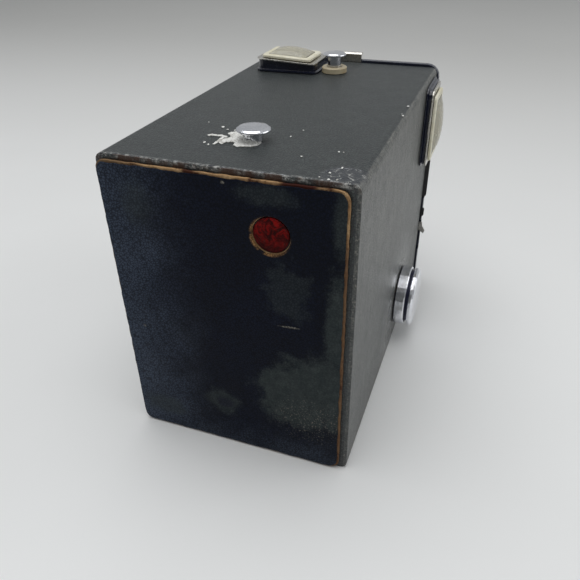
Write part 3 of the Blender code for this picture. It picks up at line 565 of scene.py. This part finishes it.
def soften(node_name, width, segments=2):
    """A small bevel on every sharp edge of a CAD node."""
    node = NODES[node_name]
    weld = node.modifiers.new("weld", "WELD")
    weld.merge_threshold = 1e-6
    bevel = node.modifiers.new("bevel", "BEVEL")
    bevel.width = width * MM
    bevel.segments = segments
    bevel.limit_method = "ANGLE"
    bevel.angle_limit = BEVEL_ANGLE
    bevel.use_clamp_overlap = True
    bevel.harden_normals = True


for node_name, width in (
    ("top_finder_frame", 0.18), ("side_finder_frame", 0.18), ("top_finder_lip", 0.12),
    ("side_finder_lip", 0.12), ("time_slide", 0.15), ("closeup_slide", 0.15),
    ("carrier_side_left", 0.25), ("carrier_side_right", 0.25), ("film_gate", 0.12),
):
    soften(node_name, width)


# ------------------------------------------------------------- new pieces

def rounded_outline(width, height, radius, centre, step=0.0008):
    """Points every step or so along a rounded rectangle, in the plane of its two axes."""
    half_w, half_h = width / 2 - radius, height / 2 - radius
    points = []
    for quarter, (sx, sy) in enumerate(((1, 1), (-1, 1), (-1, -1), (1, -1))):
        start = quarter * math.pi / 2
        count = max(3, int(radius * math.pi / 2 / step))
        for i in range(count + 1):
            angle = start + math.pi / 2 * i / count
            points.append(Vector((centre[0] + sx * half_w + radius * math.cos(angle),
                                  centre[1] + sy * half_h + radius * math.sin(angle))))
        nsx, nsy = ((-1, 1), (-1, -1), (1, -1), (1, 1))[quarter]
        end = Vector((centre[0] + nsx * half_w + radius * math.cos(start + math.pi / 2),
                      centre[1] + nsy * half_h + radius * math.sin(start + math.pi / 2)))
        first = points[-1]
        count = int((end - first).length / step)
        points += [first.lerp(end, i / count) for i in range(1, count)]
    return points


def frayed_outline(points, amount, seed, scale=320.0):
    """The outline, moved in by up to amount along a noisy line."""
    centre = sum(points, Vector((0, 0))) / len(points)
    made = []
    for point in points:
        value = noise.fractal(Vector((point.x * scale, point.y * scale, seed)), 0.9, 2.1, 4)
        inward = (centre - point).normalized()
        made.append(point + inward * amount * min(1.0, max(0.0, 0.35 + 0.9 * value)))
    return made


def slab(name, outlines, thickness, bevel, material, matrix):
    """A plate through closed outlines (holes after the first), lying in local XY, centred on z 0."""
    curve = bpy.data.curves.new(name, "CURVE")
    curve.dimensions = "2D"
    curve.fill_mode = "BOTH"
    curve.extrude = thickness / 2 - bevel
    curve.bevel_depth = bevel
    curve.bevel_resolution = 2
    curve.offset = -bevel
    for outline in outlines:
        line = curve.splines.new("POLY")
        line.points.add(len(outline) - 1)
        for vertex, point in zip(line.points, outline):
            vertex.co = (point[0], point[1], 0, 1)
        line.use_cyclic_u = True
    shape = bpy.data.objects.new(name + "_curve", curve)
    bpy.context.scene.collection.objects.link(shape)
    bpy.context.view_layer.update()
    mesh = bpy.data.meshes.new_from_object(shape.evaluated_get(
        bpy.context.evaluated_depsgraph_get()))
    bpy.data.objects.remove(shape)
    bpy.data.curves.remove(curve)
    mesh.transform(matrix)
    return piece(name, mesh, material)


def piece(name, mesh, material):
    mesh.name = name
    mesh.materials.clear()
    mesh.materials.append(material)
    mesh.shade_smooth()
    mesh.set_sharp_from_angle(angle=SHARP_ANGLE)
    made = bpy.data.objects.new(name, mesh)
    bpy.context.scene.collection.objects.link(made)
    return made


def circle_points(centre, radius, count):
    return [(centre[0] + radius * math.cos(2 * math.pi * i / count),
             centre[1] + radius * math.sin(2 * math.pi * i / count)) for i in range(count)]


def facing_back(y):
    """Local x, y, z to row +X, +Z, -Y, at the depth y."""
    return Matrix(((1, 0, 0, 0), (0, 0, -1, y), (0, 1, 0, 0), (0, 0, 0, 1)))


def make_back_panel():
    """The back as its board, with bare worn edges, under its covering."""
    low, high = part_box("rear_panel")
    width, height = high.x - low.x, high.z - low.z
    centre = ((high.x + low.x) / 2, (high.z + low.z) / 2)
    hole = circle_points((WINDOW_X, WINDOW_Z), PANEL_HOLE_RADIUS, HOLE_POINTS)[::-1]
    full = rounded_outline(width, height, 0.0030, centre)
    edge = frayed_outline(full, 0.00025, 3.0)
    thickness = high.y - low.y - PANEL_SKIN
    middle = high.y - thickness / 2
    core = slab("back_board", [edge, hole], thickness, 0.00012, LOOKS["board"], facing_back(middle))
    left, right, top, bottom = 0.0003, 0.0006, 0.0005, 0.0001
    inset_centre = (centre[0] + (left - right) / 2, centre[1] + (bottom - top) / 2)
    inset = rounded_outline(width - left - right, height - top - bottom, 0.0028, inset_centre)
    cover_edge = frayed_outline(inset, 0.00045, 8.0, 210.0)
    cover_hole = circle_points((WINDOW_X, WINDOW_Z), COVERING_HOLE_RADIUS, HOLE_POINTS)[::-1]
    cover = slab("back_covering", [cover_edge, cover_hole], PANEL_SKIN, 0.00018,
                 LOOKS["panel_leather"], facing_back(low.y + PANEL_SKIN / 2))
    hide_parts("rear_panel")
    for made in (core, cover):
        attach(made, "case")


def crumpled(name, outline_mm, thickness, lift, seed):
    """A torn flake lying on the top, its surface crumpled. outline_mm is in row X and Y."""
    outline = [(x * MM, y * MM) for x, y in outline_mm]
    dense = []
    for i, (x, y) in enumerate(outline):
        nx, ny = outline[(i + 1) % len(outline)]
        count = max(1, int(math.hypot(nx - x, ny - y) / OUTLINE_STEP))
        for k in range(count):
            px, py = x + (nx - x) * k / count, y + (ny - y) * k / count
            jitter = noise.noise_vector(Vector((px * 1700, py * 1700, seed)))
            dense.append((px + jitter.x * OUTLINE_JITTER, py + jitter.y * OUTLINE_JITTER))
    flake = slab(name, [dense], thickness, thickness * 0.3, LOOKS["torn_paper"],
                 Matrix.Translation((0, 0, TOP_Z + lift)))
    bm = bmesh.new()
    bm.from_mesh(flake.data)
    bmesh.ops.triangulate(bm, faces=bm.faces, quad_method="FIXED", ngon_method="EAR_CLIP")
    for _ in range(2):
        wide = [face for face in bm.faces if face.calc_area() > WIDE_FACE_AREA]
        bmesh.ops.poke(bm, faces=wide)
    for vertex in bm.verts:
        if vertex.co.z > TOP_Z + lift:
            wave = noise.fractal(vertex.co * 1500.0, 0.8, 2.0, 4)
            vertex.co.z += 0.00009 + 0.00012 * wave
    bm.to_mesh(flake.data)
    bm.free()
    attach(flake, "case")
    return flake


def make_residue():
    """Torn white fibre on the top, left of the rear stud."""
    body = [(-7.3, -39.8), (-9.1, -40.6), (-9.4, -42.2), (-7.0, -44.4), (-7.8, -46.1),
            (-8.7, -47.9), (-8.4, -50.8), (-7.0, -51.5), (-6.6, -49.5), (-5.1, -48.9),
            (-3.6, -49.4), (-3.4, -51.4), (-1.8, -52.2), (0.4, -51.4), (2.1, -50.9),
            (3.4, -49.6), (3.9, -47.6), (3.1, -45.1), (1.6, -43.9), (-0.8, -43.5),
            (-3.1, -43.9), (-4.3, -42.2), (-5.0, -40.9)]
    crumpled("residue_body", body, 0.0002, 0.00012, 1.0)
    cuff = [(0.8 + 3.1 * math.cos(angle), -45.2 + 3.1 * math.sin(angle), TOP_Z / MM)
            for angle in (math.radians(a) for a in range(150, 351, 12))]
    ridge("residue_cuff", cuff, 0.00075, 0.0021, 6.0, LOOKS["torn_paper"])
    streak = [(-15.1, -45.1), (-14.0, -43.9), (-12.0, -44.2), (-10.7, -43.7), (-8.3, -44.6),
              (-8.2, -45.9), (-9.4, -45.8), (-10.5, -45.2), (-12.7, -45.3), (-14.3, -45.9)]
    crumpled("residue_streak", streak, 0.00014, 0.0001, 2.0)
    branch = [(-9.7, -45.1), (-9.0, -44.9), (-8.6, -48.7), (-8.9, -51.2), (-9.2, -52.5),
              (-9.8, -52.2), (-9.9, -49.3), (-9.8, -46.7)]
    crumpled("residue_branch", branch, 0.00014, 0.0001, 3.0)
    spots = [(-13.6, -36.6, 0.7), (-11.2, -38.4, 0.35), (-20.3, -33.5, 0.25), (-12.8, -51.4, 0.45),
             (-10.9, -52.9, 0.35), (-8.6, -38.4, 0.4), (19.1, -53.8, 0.45), (10.4, -38.8, 0.35),
             (12.3, -31.8, 0.3), (28.3, -47.1, 0.35), (29.6, -47.0, 0.2), (30.2, -63.0, 0.4),
             (31.1, -67.2, 0.5), (33.4, -66.9, 0.35), (28.4, -66.4, 0.3), (32.4, -58.6, 0.4),
             (39.0, 3.8, 0.6), (38.6, -5.9, 0.3), (39.3, -7.5, 0.4)]
    rng = random.Random(4)
    for number, (x, y, size) in enumerate(spots):
        shape = [(x + size * rng.uniform(0.5, 1.1) * math.cos(angle),
                  y + size * rng.uniform(0.5, 1.1) * math.sin(angle) * 1.3)
                 for angle in (k * math.pi / 4 for k in range(8))]
        crumpled(f"fleck_{number}", shape, 0.00012, 0.00009, number)


def ridge(name, points_mm, width, height, seed, material):
    """A frayed ridge of lifted fibre along a line in the row frame."""
    bm = bmesh.new()
    rings = []
    line = []
    for a, b in zip(points_mm, points_mm[1:]):
        a, b = Vector(a) * MM, Vector(b) * MM
        count = max(1, int((b - a).length / RIDGE_STEP))
        line += [a.lerp(b, i / count) for i in range(count)]
    line.append(Vector(points_mm[-1]) * MM)
    total = len(line) - 1
    for i, point in enumerate(line):
        along = (line[min(i + 1, total)] - line[max(i - 1, 0)]).normalized()
        across = along.cross(Vector((0, 0, 1))).normalized()
        wave = noise.fractal(Vector((i * 0.19, seed, 0)), 0.8, 2.0, 3)
        taper = min(1.0, i / 6, (total - i) / 6)
        size = max(0.08, (0.55 + 0.75 * wave) * max(0.15, taper))
        middle = point + across * width * 0.35 * noise.noise(Vector((i * 0.1, seed, 5)))
        ring = []
        for k in range(RIDGE_SIDES):
            angle = math.pi * k / (RIDGE_SIDES - 1)
            ring.append(bm.verts.new(middle + across * width * size * math.cos(angle)
                                     + Vector((0, 0, height * size * math.sin(angle)))))
        rings.append(ring)
    for first, second in zip(rings, rings[1:]):
        for k in range(RIDGE_SIDES):
            n = (k + 1) % RIDGE_SIDES
            bm.faces.new((first[k], first[n], second[n], second[k]))
    bm.faces.new(rings[0][::-1])
    bm.faces.new(rings[-1])
    bmesh.ops.recalc_face_normals(bm, faces=bm.faces)
    mesh = bpy.data.meshes.new(name)
    bm.to_mesh(mesh)
    bm.free()
    made = piece(name, mesh, material)
    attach(made, "case")
    return made


def make_frayed_rims():
    """Lifted covering at the rear rim of the top and at its right corner."""
    top = TOP_Z / MM
    rim = [(x, REAR_Y / MM + 0.75, top - 0.12) for x in range(-38, 39, 4)]
    ridge("frayed_rear_rim", rim, 0.00050, 0.00024, 1.0, LOOKS["scuff"])
    arc = [(27.5, -63.5, top), (29.5, -61.4, top), (31.4, -59.3, top), (33.4, -58.5, top),
           (35.4, -58.1, top), (37.6, -58.5, top), (39.2, -59.6, top - 0.1)]
    ridge("lifted_corner", arc, 0.00026, 0.00016, 2.0, LOOKS["scuff"])
    crack = [(29.5, -67.2, top), (31.6, -65.6, top), (33.2, -66.0, top), (35.2, -64.6, top),
             (36.8, -64.9, top)]
    ridge("corner_crack", crack, 0.00022, 0.00014, 3.0, LOOKS["scuff"])
    inner = [(30.6, -62.4, top), (31.8, -61.0, top), (33.0, -60.6, top)]
    ridge("corner_flake", inner, 0.00020, 0.00012, 4.0, LOOKS["scuff"])


def scuff():
    look = Look("scuffed_rim")
    bare = look.span(look.noise(520.0, 6.0, 0.75), 0.46, 0.62)
    far_left = look.span(look.axis("X"), -0.036, 0.0, 0.35, 1.0)
    colour = look.mix(look.times(bare, far_left), tone(58, 60, 66), tone(160, 162, 166))
    look.raise_by(look.noise(1600.0, 4.0, 0.7), 0.10)
    look.set(Base_Color=colour, Roughness=0.7, Specular_IOR_Level=0.35)
    return look.done()


LOOKS["scuff"] = scuff()
make_back_panel()
make_residue()
make_frayed_rims()


# ------------------------------------------------------------- stage

def make_floor():
    look = Look("pale_table")
    y = look.axis("Y")
    x = look.axis("X")
    # painted light falloff: lighter near the case and towards the right, darker far off
    far = look.span(y, -0.12, 0.75)
    colour = look.mix(far, tone(241, 242, 242), tone(203, 203, 201))
    cloud = look.noise(7.0, 3.0, 0.5)
    colour = look.mix(look.span(cloud, 0.3, 0.7, 0.0, 0.10), colour, tone(214, 214, 212))
    colour = look.mix(look.span(x, 0.05, 0.45, 0.0, 0.25), colour, tone(250, 250, 250))
    look.raise_by(look.noise(900.0, 3.0), 0.01)
    look.set(Base_Color=colour, Roughness=0.62, Specular_IOR_Level=0.25)
    bm = bmesh.new()
    bmesh.ops.create_grid(bm, x_segments=2, y_segments=2, size=4.0)
    mesh = bpy.data.meshes.new("table_top")
    bm.to_mesh(mesh)
    bm.free()
    floor = piece("table_top", mesh, look.done())


def make_light(name, place, size, power, target=(0, 0, 0.05), colour=(1, 1, 1)):
    data = bpy.data.lights.new(name, "AREA")
    data.shape = "RECTANGLE"
    data.size, data.size_y = size
    data.energy = power
    data.color = colour
    light = bpy.data.objects.new(name, data)
    light.location = place
    aim = Vector(target) - Vector(place)
    light.rotation_euler = aim.to_track_quat("-Z", "Y").to_euler()
    bpy.context.scene.collection.objects.link(light)


def make_world():
    """Soft room light: bright ahead and above, darker behind the viewer."""
    world = bpy.data.worlds.new("room")
    world.use_nodes = True
    bpy.context.scene.world = world
    tree = world.node_tree
    background = tree.nodes["Background"]
    direction = tree.nodes.new("ShaderNodeTexCoord").outputs["Generated"]
    axes = tree.nodes.new("ShaderNodeSeparateXYZ")
    tree.links.new(direction, axes.inputs[0])
    ahead = tree.nodes.new("ShaderNodeMath")
    ahead.operation = "MULTIPLY_ADD"
    tree.links.new(axes.outputs["Z"], ahead.inputs[0])
    ahead.inputs[1].default_value = 0.8
    tree.links.new(axes.outputs["Y"], ahead.inputs[2])
    spread = tree.nodes.new("ShaderNodeMapRange")
    spread.interpolation_type = "SMOOTHSTEP"
    tree.links.new(ahead.outputs[0], spread.inputs[0])
    for socket, value in zip(spread.inputs[1:5], (-0.6, 0.9, 0.15, 0.42)):
        socket.default_value = value
    tree.links.new(spread.outputs[0], background.inputs["Strength"])
    background.inputs["Color"].default_value = (0.97, 0.99, 1.0, 1.0)


def make_camera():
    data = bpy.data.cameras.new("viewer")
    data.sensor_width = 36.0
    data.lens = 36.17
    data.clip_start = 0.01
    camera = bpy.data.objects.new("viewer", data)
    right = Vector((0.94051746, 0.33947169, -0.01363351))
    up = Vector((-0.17692878, 0.52365537, 0.83335543))
    back = Vector((0.29003983, -0.78137317, 0.55256933))
    turn = Matrix((right, up, back)).transposed().to_4x4()
    camera.matrix_world = Matrix.Translation((0.07084, -0.20446, 0.16818)) @ turn
    bpy.context.scene.collection.objects.link(camera)
    bpy.context.scene.camera = camera


make_floor()
make_world()
make_light("overhead", (-0.10, -0.10, 1.1), (1.2, 1.0), 7.4)
make_light("right_window", (1.1, 0.35, 0.75), (0.9, 0.7), 2.6)
make_camera()
bpy.context.scene.view_settings.view_transform = "Standard"
